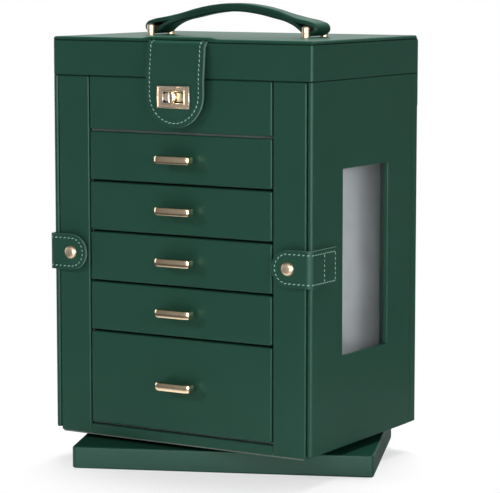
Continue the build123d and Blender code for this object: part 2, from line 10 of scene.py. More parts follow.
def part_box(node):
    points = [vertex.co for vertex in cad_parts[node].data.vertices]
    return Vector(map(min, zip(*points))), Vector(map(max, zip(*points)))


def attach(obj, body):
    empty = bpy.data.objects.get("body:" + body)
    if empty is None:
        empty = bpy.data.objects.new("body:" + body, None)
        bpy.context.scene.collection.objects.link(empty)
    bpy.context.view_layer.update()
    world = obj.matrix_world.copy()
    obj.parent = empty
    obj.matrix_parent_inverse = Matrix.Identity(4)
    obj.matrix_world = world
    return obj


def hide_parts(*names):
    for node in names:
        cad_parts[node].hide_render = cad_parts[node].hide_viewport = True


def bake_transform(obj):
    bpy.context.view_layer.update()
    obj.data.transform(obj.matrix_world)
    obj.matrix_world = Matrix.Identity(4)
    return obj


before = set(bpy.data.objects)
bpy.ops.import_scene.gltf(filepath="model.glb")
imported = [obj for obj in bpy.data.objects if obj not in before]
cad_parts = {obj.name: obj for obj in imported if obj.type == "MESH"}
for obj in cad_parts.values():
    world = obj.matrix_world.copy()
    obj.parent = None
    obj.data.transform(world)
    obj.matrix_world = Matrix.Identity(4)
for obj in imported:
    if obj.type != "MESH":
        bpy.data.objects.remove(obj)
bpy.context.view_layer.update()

mm = 0.001
X, Y, Z = range(3)

# %% [markdown]
# The box is board covered with fine leather, with champagne-coloured metal and a grey velvet lining.
# Every finish here is a small node tree on the Principled shader. The trees read Object coordinates,
# in metres, so a grain of one millimetre is a texture scale of about one thousand on every piece.
# A few helpers keep the trees short: one starts a material, the others add nodes and fill sockets.


# %% Helpers for finishes
def start_finish(name):
    """A new material: the material, its tree, its shader and its Object coordinates."""
    finish = bpy.data.materials.new(name)
    finish.use_nodes = True
    tree = finish.node_tree
    place = tree.nodes.new("ShaderNodeTexCoord").outputs["Object"]
    return finish, tree, tree.nodes["Principled BSDF"], place


def fill(tree, socket, value):
    """Link another socket into this one, or set its value."""
    if isinstance(value, bpy.types.NodeSocket):
        tree.links.new(value, socket)
    else:
        socket.default_value = value


def fill_named(tree, node, **sockets):
    """Fill the named sockets of a node; an underscore stands for a space."""
    for key, value in sockets.items():
        fill(tree, node.inputs[key.replace("_", " ")], value)


def add_node(tree, kind, settings=None, **sockets):
    """Add a node, set its options and fill its named sockets."""
    node = tree.nodes.new("ShaderNode" + kind)
    for key, value in (settings or {}).items():
        setattr(node, key, value)
    fill_named(tree, node, **sockets)
    return node


def reckon(tree, operation, first, second):
    """A Math node with two inputs."""
    node = add_node(tree, "Math", {"operation": operation})
    fill(tree, node.inputs[0], first)
    fill(tree, node.inputs[1], second)
    return node.outputs[0]


def noise(tree, place, scale, detail):
    """The level of a noise texture."""
    return add_node(tree, "TexNoise", Vector=place, Scale=scale, Detail=detail).outputs["Fac"]


def two_tone(tree, factor, low, high, first, second):
    """A colour ramp between two tones, spread between two levels of a texture."""
    ramp = add_node(tree, "ValToRGB", Fac=factor)
    for stop, level, tone in zip(ramp.color_ramp.elements, (low, high), (first, second)):
        stop.position = level
        stop.color = (*tone, 1.0)
    return ramp.outputs["Color"]


def spread(tree, factor, low, high):
    """Map a texture's 0 to 1 onto a narrower range."""
    return add_node(tree, "MapRange", Value=factor, To_Min=low, To_Max=high).outputs["Result"]


def raise_grain(tree, shader, height, strength, depth):
    """Turn a height into bump on the shader."""
    bump = add_node(tree, "Bump", Strength=strength, Distance=depth, Height=height)
    fill_named(tree, shader, Normal=bump.outputs["Normal"])


print("finish helpers ready")

# %% [markdown]
# The cover is coated leather with a fine, even pebble. Cells from a Voronoi texture give the pebbles,
# a finer noise breaks them up, and a slow noise lets the green drift a little over a whole panel, as a
# dyed sheet does. A photograph of leather could be wrapped on instead, but a node pattern has no seams
# and stays sharp at any distance. The coat shines only weakly, with a little of the green in it. The
# same tree with other numbers gives the cut edges, pale as edge paint and paler still as a painted
# highlight, the strap's back and sides, darkened as painted shade, and a base top without shine, as
# painted shade.

# %% Leather finishes
drift_scale, pebble_scale, crease_scale = 11.0, 780.0, 1900.0
green_shine = (0.74, 1.0, 0.92, 1.0)
fine_grain = 0.2 * mm


def leather_finish(name, deep, pale, gloss, shine=0.20):
    """Fine-grained coated leather between two tones of one colour."""
    finish, tree, shader, place = start_finish(name)
    drift = noise(tree, place, drift_scale, 4.0)
    crease = noise(tree, place, crease_scale, 2.0)
    cells = add_node(tree, "TexVoronoi", {"feature": "DISTANCE_TO_EDGE"}, Vector=place, Scale=pebble_scale)
    pebble = reckon(tree, "MULTIPLY", cells.outputs["Distance"], 2.0)
    fill_named(tree, shader, Base_Color=two_tone(tree, drift, 0.3, 0.7, deep, pale),
               Roughness=spread(tree, crease, gloss, gloss + 0.14),
               Specular_IOR_Level=shine, Specular_Tint=green_shine)
    height = reckon(tree, "ADD", pebble, reckon(tree, "MULTIPLY", crease, 0.4))
    raise_grain(tree, shader, height, 0.2, fine_grain)
    return finish


cover_tones = (0.0125, 0.0590, 0.0385), (0.0150, 0.0650, 0.0430)
strap_tones = (0.0130, 0.0590, 0.0390), (0.0165, 0.0660, 0.0445)
edge_paint_and_highlight_tones = (0.1500, 0.2500, 0.2120), (0.1750, 0.2800, 0.2400)
shaded_back_tones = (0.0040, 0.0130, 0.0095), (0.0060, 0.0180, 0.0130)
shaded_side_tones = (0.0115, 0.0520, 0.0350), (0.0140, 0.0580, 0.0395)
green = leather_finish("green_leather_cover", *cover_tones, 0.33)
strap_green = leather_finish("green_leather_strap", *strap_tones, 0.33)
# Cut edges: pale as edge paint, and paler still as a painted highlight that the rounded edge catches.
cut_edge_and_highlight = leather_finish("leather_edge_paint_and_highlight", *edge_paint_and_highlight_tones, 0.45)
# Strap back: near black, as painted shade under the strap.
shaded_strap_back = leather_finish("strap_back_painted_shade", *shaded_back_tones, 0.60)
# Strap sides: a darker green, as painted shade.
shaded_strap_edge = leather_finish("strap_edge_painted_shade", *shaded_side_tones, 0.40)
base_green = leather_finish("green_leather_base", *cover_tones, 0.33, shine=0.27)
# The base top: the cover leather without shine, as painted shade from the box above it.
shaded_base_top = leather_finish("leather_base_top_painted_shade", *cover_tones, 0.60, shine=0.0)
leathers = (green, strap_green, cut_edge_and_highlight, shaded_strap_back, shaded_strap_edge, base_green, shaded_base_top)
print("leather finishes:", ", ".join(leather.name for leather in leathers))

# %% [markdown]
# The thread is a pale aqua twist, and its plies show as slanted ridges. Real plies could be modelled as
# twisted strands, but a stitch is only a few pixels long. A wave texture is enough: at a scale of some
# hundred bands a metre, each stitch carries a few.

# %% Thread finish
thread, tree, shader, place = start_finish("aqua_thread")
waves = add_node(tree, "TexWave", {"bands_direction": "DIAGONAL"}, Vector=place, Scale=420.0, Distortion=1.5)
ply = waves.outputs["Fac"]
tone = two_tone(tree, ply, 0.1, 0.8, (0.24, 0.41, 0.345), (0.42, 0.65, 0.56))
fill_named(tree, shader, Base_Color=tone, Roughness=0.62)
raise_grain(tree, shader, ply, 0.5, fine_grain)
print("thread finish:", thread.name)

# %% [markdown]
# The metal is plated in champagne gold. The pulls and the lock's tab are polished, the caps, the posts
# and the lock plate's face are satin, and the plate's rims are a paler gold, as a painted highlight.
# Handling marks are a noise in the roughness only: a plated piece has no relief, but its shine is never quite
# even.


# %% Metal finishes
def metal_finish(name, deep, pale, polish, marks=260.0):
    """Plated metal: two close tones, and a roughness that wanders."""
    finish, tree, shader, place = start_finish(name)
    haze = noise(tree, place, marks, 4.0)
    fill_named(tree, shader, Base_Color=two_tone(tree, haze, 0.35, 0.65, deep, pale),
               Roughness=spread(tree, haze, polish, polish + 0.10), Metallic=1.0)
    return finish


gold = metal_finish("champagne_gold", (0.70, 0.55, 0.37), (0.77, 0.615, 0.43), 0.13)
satin_gold = metal_finish("satin_champagne", (0.67, 0.52, 0.37), (0.73, 0.58, 0.425), 0.34)
# Rims: a paler gold, as a painted highlight.
rim_gold_highlight = metal_finish("champagne_rim_painted_highlight", (0.80, 0.72, 0.60), (0.87, 0.79, 0.68), 0.18)
steel = metal_finish("zinc_steel", (0.42, 0.43, 0.44), (0.55, 0.56, 0.57), 0.30, marks=420.0)
silvering = metal_finish("mirror_silver", (0.86, 0.87, 0.88), (0.90, 0.91, 0.92), 0.01, marks=30.0)
metals = (gold, satin_gold, rim_gold_highlight, steel, silvering)
print("metal finishes:", ", ".join(metal.name for metal in metals))

# %% [markdown]
# The lining is short grey velvet. Velvet looks soft because its pile catches light at the rim of a form,
# and the shader's sheen does that without any hair. A fine noise is the pile, and a coarse one the
# strokes that fingers leave in it.

# %% Velvet finish
velvet, tree, shader, place = start_finish("grey_velvet")
pile = noise(tree, place, 2400.0, 2.0)
stroke = noise(tree, place, 38.0, 3.0)
mixed = reckon(tree, "ADD", reckon(tree, "MULTIPLY", pile, 0.5), reckon(tree, "MULTIPLY", stroke, 0.5))
tone = two_tone(tree, mixed, 0.35, 0.65, (0.40, 0.425, 0.445), (0.52, 0.545, 0.565))
fill_named(tree, shader, Base_Color=tone, Roughness=0.85, Sheen_Weight=0.35, Sheen_Roughness=0.4)
raise_grain(tree, shader, pile, 0.35, 0.3 * mm)
print("velvet finish:", velvet.name)

# %% [markdown]
# The windows are thin clear sheets. Full glass would bend the view and darken what lies behind, which a
# thin sheet doesn't, so the pane is mostly let through by its alpha, and the rest of it shines as glass.

# %% Window pane
pane, tree, shader, place = start_finish("clear_pane")
smear = noise(tree, place, 24.0, 2.0)
fill_named(tree, shader, Base_Color=(0.93, 0.96, 0.96, 1.0), Roughness=spread(tree, smear, 0.02, 0.06),
           Transmission_Weight=1.0, IOR=1.45, Alpha=0.22)
print("pane finish:", pane.name)

# %% [markdown]
# Two finishes of board show where the leather ends. The shelves and the rings inside the seams are
# near black, as painted shade in the gaps, and the front of the bottom board is pale, partly as its raw
# edge and partly as a painted highlight. Board is pressed from fibres, and one noise can be both the
# change of its colour and its slight relief.

# %% Board finishes
# Near-black board: painted shade for the drawer gaps and the lid's seams.
shaded_board, tree, shader, place = start_finish("near_black_board_painted_shade")
fibre = noise(tree, place, 650.0, 5.0)
tone = two_tone(tree, fibre, 0.3, 0.7, (0.0028, 0.0092, 0.0064), (0.0052, 0.0140, 0.0102))
fill_named(tree, shader, Base_Color=tone, Roughness=0.8, Specular_IOR_Level=0.05)
raise_grain(tree, shader, fibre, 0.15, fine_grain)

# Pale board edge: partly the raw edge's own colour, partly a painted highlight.
raw_board_and_highlight, tree, shader, place = start_finish("raw_board_edge_and_highlight")
chips = noise(tree, place, 900.0, 4.0)
tone = two_tone(tree, chips, 0.35, 0.65, (0.083, 0.114, 0.093), (0.122, 0.166, 0.136))
fill_named(tree, shader, Base_Color=tone, Roughness=0.7)
raise_grain(tree, shader, chips, 0.2, fine_grain)
print("board finishes:", shaded_board.name, raw_board_and_highlight.name)

# %% [markdown]
# Now the mesh helpers. A block starts as a bmesh cube stretched between two corners, and the Bevel
# operator rounds the edges that are handed to it. Every finished piece goes through one last helper,
# which turns the bmesh into an object, gives it its finishes, parents it under the empty of the body
# that carries it, and hides the CAD solids it stands for. A Weighted Normal modifier keeps broad faces
# flat beside round edges.

# %% Helpers for pieces
touch = 0.01 * mm
crease_angle = radians(38)


def block(bm, low, high):
    """Add a block between two corners and return its edges."""
    size = Matrix.Diagonal((*(high - low), 1.0))
    made = bmesh.ops.create_cube(bm, size=1.0, matrix=Matrix.Translation((low + high) / 2) @ size)
    return list({edge for vert in made["verts"] for edge in vert.link_edges})


def round_over(bm, edges, radius, steps):
    """Round the given edges."""
    bmesh.ops.bevel(bm, geom=list(edges), offset=radius, offset_type="OFFSET", segments=steps,
                    profile=0.5, affect="EDGES", clamp_overlap=True, material=-1)


def runs_along(edge, axis):
    """Whether a straight edge runs along one axis."""
    run = (edge.verts[1].co - edge.verts[0].co).normalized()
    return abs(run[axis]) > 0.999


def lies_at(edge, axis, level):
    """Whether both ends of an edge lie at one level of an axis."""
    return all(abs(vert.co[axis] - level) < touch for vert in edge.verts)


def edges_at(bm, axis, level):
    """All edges that lie at one level of an axis."""
    return [edge for edge in bm.edges if lies_at(edge, axis, level)]


def keep(name, bm, finishes, body=None, stands_for=()):
    """Make the piece: mesh, finishes, shading, and its place in the frame."""
    bmesh.ops.recalc_face_normals(bm, faces=bm.faces[:])
    mesh = bpy.data.meshes.new(name)
    bm.to_mesh(mesh)
    bm.free()
    for finish in finishes:
        mesh.materials.append(finish)
    mesh.shade_smooth()
    mesh.set_sharp_from_angle(angle=crease_angle)
    piece = bpy.data.objects.new(name, mesh)
    bpy.context.scene.collection.objects.link(piece)
    even = piece.modifiers.new("even_shading", "WEIGHTED_NORMAL")
    even.keep_sharp = True
    if stands_for:
        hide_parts(*stands_for)
    if body:
        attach(piece, body)
    print("made", name, "with", len(mesh.polygons), "faces")
    return piece


print("piece helpers ready")

# %% [markdown]
# Each visible board of the box has leather drawn over its edges, so no edge is sharp: it rolls over with a
# radius of a millimetre or so, and that roll catches a thin line of light. Those boards are blocks at the
# size of their CAD solids with every edge rounded. The CAD meshes could be bevelled instead, but they are
# loose triangles, and a bevel wants clean edges. The padding under the leather swells the front by a hair,
# so the front face is inset and lifted. On the stiles the leather is drawn down to the raw bottom edge.

# %% Boards of the front, and the back board
board_roll, back_roll = 1.5 * mm, 0.6 * mm
swell_margin = 7.0 * mm
swell = 0.2 * mm
raw_edge = 1.0 * mm
front_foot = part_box("bottom_plate")[0].z + raw_edge
drawers = range(1, 6)


def covered_board(node, body, foot=None):
    """A board in leather, with a barely swollen front, in place of its CAD solid; a foot draws it down."""
    low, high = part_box(node)
    low.z = foot or low.z
    bm = bmesh.new()
    round_over(bm, block(bm, low, high), board_roll, 4)
    front = min(bm.faces, key=lambda face: face.calc_center_median().y)
    bmesh.ops.inset_region(bm, faces=[front], thickness=swell_margin, depth=swell, use_even_offset=True)
    keep(f"{node}_cover", bm, [green], body, [node])


covered_board("top_front_panel", "cabinet")
for node in ("left_stile", "right_stile"):
    covered_board(node, "cabinet", front_foot)
for number in drawers:
    covered_board(f"drawer_{number}_front", f"drawer_{number}")

bm = bmesh.new()
round_over(bm, block(bm, *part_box("back_panel")), back_roll, 3)
keep("back_panel_cover", bm, [green], "cabinet", ["back_panel"])

# %% [markdown]
# A door is a thin board with a window, and on so thin a board the leather makes the whole edge round. A
# hole could be cut with a Boolean modifier, but that leaves long thin faces that bevel badly. So a board
# with an opening starts as a block. Each broad face gets a smaller face inside it with an inset, that
# face is drawn to the size of the opening and taken out, and bridge_loops makes the opening's walls. The
# same helper makes the lid's frame and the metal frames of the lock.

# %% Boards with an opening
first_inset = 0.1 * mm


def open_board(bm, low, high, hole_low, hole_high, axis):
    """A board with a four-sided hole through it along one axis; returns outer and inner edges."""
    outer = block(bm, low, high)
    bm.normal_update()
    faces = {face for edge in outer for face in edge.link_faces}
    broad = [face for face in faces if abs(face.normal[axis]) > 0.9]
    middle = (low + high) / 2
    bmesh.ops.inset_individual(bm, faces=broad, thickness=first_inset)
    for vert in {vert for face in broad for vert in face.verts}:
        for across in {X, Y, Z} - {axis}:
            vert.co[across] = hole_low[across] if vert.co[across] < middle[across] else hole_high[across]
    rims = [edge for face in broad for edge in face.edges]
    bmesh.ops.delete(bm, geom=broad, context="FACES_ONLY")
    walls = bmesh.ops.bridge_loops(bm, edges=rims)["faces"]
    bmesh.ops.recalc_face_normals(bm, faces=bm.faces[:])
    return outer, list({edge for face in walls for edge in face.edges})


door_roll, end_roll = 2.4 * mm, 0.6 * mm
window_roll, hinge_roll = 0.9 * mm, 0.5 * mm
window_lap = Vector((0.0, 6.0 * mm, 6.0 * mm))
for hand in ("right", "left"):
    low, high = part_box(f"{hand}_door_panel")
    pane_low, pane_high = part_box(f"{hand}_window_pane")
    hole_low, hole_high = pane_low + window_lap, pane_high - window_lap
    hole_low.x, hole_high.x = low.x, high.x
    bm = bmesh.new()
    outer, inner = open_board(bm, low, high, hole_low, hole_high, X)
    round_over(bm, inner, window_roll, 3)
    for level, radius, steps in ((high.y, hinge_roll, 2), (low.y, door_roll, 6)):
        round_over(bm, [edge for edge in edges_at(bm, Y, level) if runs_along(edge, Z)], radius, steps)
    for level in (low.z, high.z):
        round_over(bm, edges_at(bm, Z, level), end_roll, 3)
    keep(f"{hand}_door_cover", bm, [green], f"{hand}_door", [f"{hand}_door_panel"])

# %% [markdown]
# The door turns on nothing but leather: the cover runs on over the joint and bends there. This strip of
# skin lies flush over the joint.

# %% Leather hinges of the doors
skin, skin_proud = 0.40 * mm, 0.15 * mm
skin_width, skin_spare = 9.0 * mm, 5.0 * mm
joint_half = 0.2 * mm


def face_way(bm, axis, way):
    """Make a sheet's faces agree, so that the one farthest along an axis faces a given way."""
    bm.normal_update()
    bmesh.ops.recalc_face_normals(bm, faces=bm.faces[:])
    farthest = max(bm.faces, key=lambda face: face.calc_center_median()[axis])
    if farthest.normal.dot(Vector(way)) < 0:
        bmesh.ops.reverse_faces(bm, faces=bm.faces[:])


for hand, side in (("right", 1), ("left", -1)):
    low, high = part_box(f"{hand}_door_panel")
    edge_x = side * max(abs(low.x), abs(high.x))
    fold_y = high.y + joint_half
    bm = bmesh.new()
    bmesh.ops.create_grid(bm, x_segments=14, y_segments=1, size=0.5)
    bmesh.ops.scale(bm, vec=(skin_width, high.z - low.z - skin_spare, 1.0), verts=bm.verts[:])
    turn = Matrix(((0, 0, side), (1, 0, 0), (0, 1, 0))).to_4x4()
    bmesh.ops.transform(bm, matrix=turn, verts=bm.verts[:])
    skin_at = (edge_x + side * skin_proud, fold_y, (low.z + high.z) / 2)
    bmesh.ops.translate(bm, vec=skin_at, verts=bm.verts[:])
    face_way(bm, Y, (side, 0, 0))
    bmesh.ops.solidify(bm, geom=bm.faces[:], thickness=skin)
    strip = keep(f"{hand}_door_hinge_skin", bm, [green])
    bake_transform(strip)

# %% [markdown]
# The lid is a frame of four walls under a top board. Its corners are rounded in plan first, and then the
# long edges, so that the lines above and below the frame are real grooves between rolled edges. A dark
# stripe could be painted on instead, but it would have no lips to catch the light. Inside each groove a
# ring of near-black board closes the seam, so that nothing shines through, and its colour is painted shade.

# %% Lid frame
corner = 2.4 * mm
frame_roll, rim_roll = 0.6 * mm, 0.5 * mm
lid_wall = 6.0 * mm
frame_rise = Vector((0.0, 0.0, 0.3 * mm))
board_rise = Vector((0.0, 0.0, 0.9 * mm))
groove = board_rise.z - frame_rise.z
seam_depth, seam_lap = 0.8 * mm, 0.8 * mm
hair = 0.02 * mm
sharp = radians(60)


def paint(faces, number):
    """Give faces the piece's finish of this number."""
    for face in faces:
        face.material_index = number


low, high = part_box("lid_frame")
high = high + frame_rise
wall = Vector((lid_wall, lid_wall, 0.0))
bm = bmesh.new()
outer, inner = open_board(bm, low, high, low + wall, high - wall, Z)
round_over(bm, [edge for edge in outer if runs_along(edge, Z)], corner, 5)
inside = {vert for edge in inner for vert in edge.verts}
for level, radius in ((high.z, frame_roll), (low.z, rim_roll)):
    rim = [edge for edge in edges_at(bm, Z, level) if edge.calc_face_angle() > sharp]
    round_over(bm, [edge for edge in rim if not inside & set(edge.verts)], radius, 3)
leather_faces = set(bm.faces)
seam_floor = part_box("top_tray")[1].z + hair
for ring_low, ring_high in ((seam_floor, low.z + seam_lap), (high.z - seam_lap, high.z + seam_lap + groove)):
    ring = [Vector((sign * (high.x - inset), sign * (high.y - inset), level))
            for inset in (seam_depth, lid_wall) for sign, level in ((-1, ring_low), (1, ring_high))]
    open_board(bm, *ring, Z)
# The seam rings take the near-black board: painted shade.
paint(set(bm.faces) - leather_faces, 1)
keep("lid_frame_cover", bm, [green, shaded_board], "lid", ["lid_frame"])

# %% [markdown]
# The lid's top board is a block with round corners and a rolled rim. The clasp flap comes out of the groove
# under it, and the cover is pushed up a little where it does. That bulge could be sculpted, but a rule
# can be read and changed: the board is cut into strips there, and their points are lifted by a smooth step
# across and along.

# %% Lid top
top_roll = 2.15 * mm
lift = 1.5 * mm
lift_run, lift_depth = 11.0 * mm, 18.0 * mm
lift_cuts = 8


def smooth_step(share):
    """Nought to one, level at both ends."""
    share = min(1.0, max(0.0, share))
    return share * share * (3.0 - 2.0 * share)


def slice_through(bm, point, normal):
    """Cut every face that a plane goes through."""
    everything = bm.verts[:] + bm.edges[:] + bm.faces[:]
    bmesh.ops.bisect_plane(bm, geom=everything, plane_co=point, plane_no=normal)


low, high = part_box("lid_top")
low = low + board_rise
flap_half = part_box("clasp_flap")[1].x
bm = bmesh.new()
edges = block(bm, low, high)
round_over(bm, [edge for edge in edges if runs_along(edge, Z)], corner, 5)
for level, radius in ((high.z, top_roll), (low.z, rim_roll)):
    round_over(bm, edges_at(bm, Z, level), radius, 4)
for cut in range(lift_cuts + 1):
    beside = flap_half + lift_run * cut / lift_cuts
    for x in (-beside, beside):
        slice_through(bm, (x, 0, 0), (1, 0, 0))
    slice_through(bm, (0, low.y + lift_depth * (cut + 1) / (lift_cuts + 1), 0), (0, 1, 0))
for vert in bm.verts:
    run = lift_run if vert.co.z > low.z + rim_roll else lift_run / lift_cuts
    across = smooth_step((flap_half + run - abs(vert.co.x)) / run)
    vert.co.z += lift * across * smooth_step((low.y + lift_depth - vert.co.y) / lift_depth)
keep("lid_top_cover", bm, [green], "lid", ["lid_top"])

# %% [markdown]
# The box stands on a bottom board with a low rail in front. The board is open in the middle for the
# turntable's bearing. A Boolean could drill that hole; here a circle is bridged to the square edge, which
# keeps the faces in order. The board's front is left raw, and its pale line under the leather is partly
# that raw edge and partly a painted highlight.

# %% Bottom board
hub = 26.0 * mm
raw_setback, raw_roll = 0.5 * mm, 0.3 * mm
rail_spare, rail_roll = 0.9 * mm, 0.8 * mm
low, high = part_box("bottom_plate")
shelf_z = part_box("drawer_shelves")[0].z
bm = bmesh.new()
edges = block(bm, low + Vector((0, raw_setback, 0)), Vector((high.x, high.y, shelf_z)))
broad = [face for face in bm.faces if abs(face.normal.z) > 0.9]
bmesh.ops.delete(bm, geom=broad, context="FACES_ONLY")
rings = []
for level in (low.z, shelf_z):
    made = bmesh.ops.create_circle(bm, segments=48, radius=hub, matrix=Matrix.Translation((0, 0, level)))
    rings.append(list({edge for vert in made["verts"] for edge in vert.link_edges}))
    bmesh.ops.bridge_loops(bm, edges=rings[-1] + [edge for edge in edges if lies_at(edge, Z, level)])
bmesh.ops.bridge_loops(bm, edges=rings[0] + rings[1])
bmesh.ops.recalc_face_normals(bm, faces=bm.faces[:])
round_over(bm, edges, raw_roll, 2)
bm.normal_update()
# The front faces get the pale raw edge, partly a painted highlight.
paint([face for face in bm.faces if face.normal.y < -0.3], 1)
rail_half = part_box("top_front_panel")[1].x + rail_spare
rail_low = Vector((-rail_half, low.y, front_foot))
rail_high = Vector((rail_half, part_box("left_stile")[1].y, high.z))
round_over(bm, block(bm, rail_low, rail_high), rail_roll, 3)
keep("bottom_board_cover", bm, [green, raw_board_and_highlight], "cabinet", ["bottom_plate"])

# %% [markdown]
# The base of the turntable is a covered board that is turned a little against the box. It is one block,
# with round corners and rolled edges, turned as a mesh so that the object itself stays unturned. The faces
# that look up get a copy of the leather without shine, as painted shade, because the box above shades them.

# %% Turntable base
base_half = Vector((131.0, 86.0, 0.0)) * mm
base_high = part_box("base_plinth")[1].z
base_corner, base_roll = 4.0 * mm, 1.6 * mm
base_turn = radians(22.6)
bm = bmesh.new()
edges = block(bm, -base_half, base_half + Vector((0, 0, base_high)))
round_over(bm, [edge for edge in edges if runs_along(edge, Z)], base_corner, 5)
for level in (0.0, base_high):
    round_over(bm, edges_at(bm, Z, level), base_roll, 3)
bmesh.ops.rotate(bm, matrix=Matrix.Rotation(base_turn, 3, "Z"), verts=bm.verts[:])
bm.normal_update()
# Faces that look up get the copy without shine: painted shade.
paint([face for face in bm.faces if face.normal.z > 0.99], 1)
keep("turntable_base_cover", bm, [base_green, shaded_base_top], "base", ["base_plinth"])

# %% [markdown]
# The lid's hinge is a wide strip of leather across the back, half on the lid and half on the box. As two
# rigid halves it would open a gap at the fold, so it is one sheet with cuts close together where it
# folds. Its corners are rounded with a vertex bevel before solidify gives it thickness, and its cut ends
# are dark with the painted shade of the strap's back.

# %% Lid hinge strip
strip_corner, strip_round = 4.0 * mm, 0.4 * mm
strip_cuts, cut_span = 16, 12.0 * mm


def sharp_edges(bm):
    """All edges where the surface turns sharply."""
    return [edge for edge in bm.edges if edge.calc_face_angle() > sharp]


low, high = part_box("lid_hinge_strip_lower")
strip_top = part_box("lid_hinge_strip_upper")[1].z
fold_z = high.z
bm = bmesh.new()
bmesh.ops.create_grid(bm, x_segments=1, y_segments=1, size=0.5)
bmesh.ops.scale(bm, vec=(high.x - low.x, strip_top - low.z, 1.0), verts=bm.verts[:])
bmesh.ops.rotate(bm, matrix=Matrix.Rotation(radians(90), 3, "X"), verts=bm.verts[:])
bmesh.ops.translate(bm, vec=(0, low.y, (low.z + strip_top) / 2), verts=bm.verts[:])
bmesh.ops.bevel(bm, geom=bm.verts[:], offset=strip_corner, segments=4, profile=0.5, affect="VERTICES",
                material=-1)
for cut in range(strip_cuts + 1):
    slice_through(bm, (0, 0, fold_z + (cut / strip_cuts - 0.5) * cut_span), (0, 0, 1))
face_way(bm, Z, (0, 1, 0))
bmesh.ops.solidify(bm, geom=bm.faces[:], thickness=-(high.y - low.y))
bmesh.ops.recalc_face_normals(bm, faces=bm.faces[:])
round_over(bm, sharp_edges(bm), strip_round, 3)
bm.normal_update()
# The strip's cut ends take the strap back's painted shade.
paint([face for face in bm.faces if abs(face.normal.x) > 0.5], 1)
strip = keep("lid_hinge_strip", bm, [strap_green, shaded_strap_back],
             stands_for=["lid_hinge_strip_lower", "lid_hinge_strip_upper"])
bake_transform(strip)

# %% [markdown]
# The clasp flap and the two door tabs are the same thing at different sizes: a leather tongue, held at
# its root, folded over an edge of the box, with a round tip. A curve with thickness could draw its side,
# but not its round tip, so it is drawn as a sheet, once, with the box's edge at the origin, the tip
# hanging down and the root running back. Its tip is half a circle, its sides are extruded from that, the
# fold is a spin of the top edge, and the root is one more extrude. Cuts across it let it bow away from
# the box. Only then does solidify give it thickness: the faces that it adds at the sides are the cut
# edge of the leather, in a paler green that is partly edge paint and partly a painted highlight.

# %% The leather tongue
upright = Matrix.Rotation(radians(90), 4, "X")
tongue_cuts = 14
edge_round = 0.6 * mm


def draw_out(bm, edges, way):
    """Extrude edges along a way."""
    grown = bmesh.ops.extrude_edge_only(bm, edges=edges)["geom"]
    bmesh.ops.translate(bm, vec=way, verts=[item for item in grown if isinstance(item, bmesh.types.BMVert)])


def bow_out(bm, length, amount):
    """Let what hangs below the edge stand off from the box, more and more down to a length."""
    for vert in bm.verts:
        vert.co.y -= amount * smooth_step(-vert.co.z / length)


def tongue(width, reach, root, thick, gap, bend, bow, hole=None):
    """A leather tongue folded over an edge at the origin, as a bmesh."""
    bm = bmesh.new()
    tip_z = -(reach - width / 2)
    stand = Matrix.Translation((0, -gap, tip_z)) @ upright
    bmesh.ops.create_circle(bm, segments=64, radius=width / 2, matrix=stand)
    upper = [vert for vert in bm.verts if vert.co.z > tip_z + touch]
    bmesh.ops.delete(bm, geom=upper, context="VERTS")
    ends = sorted(bm.verts, key=lambda vert: vert.co.x)
    raised = bmesh.ops.extrude_vert_indiv(bm, verts=[ends[0], ends[-1]])["verts"]
    for vert in raised:
        vert.co.z = -bend
    fold_edge = bm.edges.new(raised)
    if hole:
        level, hole_width, hole_height = hole
        shape = Matrix.Diagonal((hole_width, hole_height, 1.0, 1.0))
        hole_place = Matrix.Translation((0, -gap, level)) @ upright @ shape
        made = bmesh.ops.create_grid(bm, x_segments=1, y_segments=1, size=0.5, matrix=hole_place)
        bmesh.ops.delete(bm, geom=made["verts"][0].link_faces[:], context="FACES_ONLY")
    bmesh.ops.triangle_fill(bm, use_beauty=True, edges=bm.edges[:])
    spun = bmesh.ops.spin(bm, geom=[fold_edge, *raised], cent=(0, bend - gap, -bend), axis=(1, 0, 0),
                          angle=-pi / 2, steps=8)["geom_last"]
    last = [item for item in spun if isinstance(item, bmesh.types.BMEdge)]
    draw_out(bm, last, (0, root - (bend - gap), 0))
    for cut in range(1, tongue_cuts):
        along = cut / tongue_cuts
        slice_through(bm, (0, 0, -bend - along * (reach - bend)), (0, 0, 1))
        slice_through(bm, (0, bend - gap + along * (root - bend + gap), 0), (0, 1, 0))
    face_way(bm, Y, (0, 0, 1))
    bow_out(bm, *bow)
    sheet = set(bm.faces)
    cover = bmesh.ops.solidify(bm, geom=bm.faces[:], thickness=-thick)["geom"]
    # The side faces are the cut edge: partly edge paint, partly a painted highlight.
    paint(set(bm.faces) - sheet - set(cover), 1)
    bmesh.ops.recalc_face_normals(bm, faces=bm.faces[:])
    round_over(bm, sharp_edges(bm), edge_round, 3)
    return bm


print("tongue helper ready")

# %% [markdown]
# The pale thread is what makes the leather read as sewn. A row could be a dashed line in the finish, but
# stitches stand up from the leather and catch light. So each is its own small bead of thread, a sphere
# of two dozen faces drawn out along the row and slanted a little in it, because a real stitch lies at a
# slant between its two holes. The rows follow the tongue: up its root, over the fold, down the sides
# and round the tip.

# %% Stitches
stitch_height = 0.30 * mm
stitch_slant, slant_stray = 14.0, 6.0
shortest, longest = 0.85, 1.1
sewing_hand = random.Random(4)


def stitch(bm, at, along, out, size):
    """One stitch, centred at a point of the leather; its size is pitch, half length, half width."""
    slant = radians(stitch_slant + sewing_hand.uniform(-slant_stray, slant_stray))
    along = Matrix.Rotation(slant, 3, out) @ along.normalized()
    across = out.cross(along)
    half_length = size[1] * sewing_hand.uniform(shortest, longest)
    shape = Matrix((along * half_length, across * size[2], out * stitch_height)).transposed().to_4x4()
    bmesh.ops.create_uvsphere(bm, u_segments=6, v_segments=4, radius=1.0,
                              matrix=Matrix.Translation(at) @ shape)


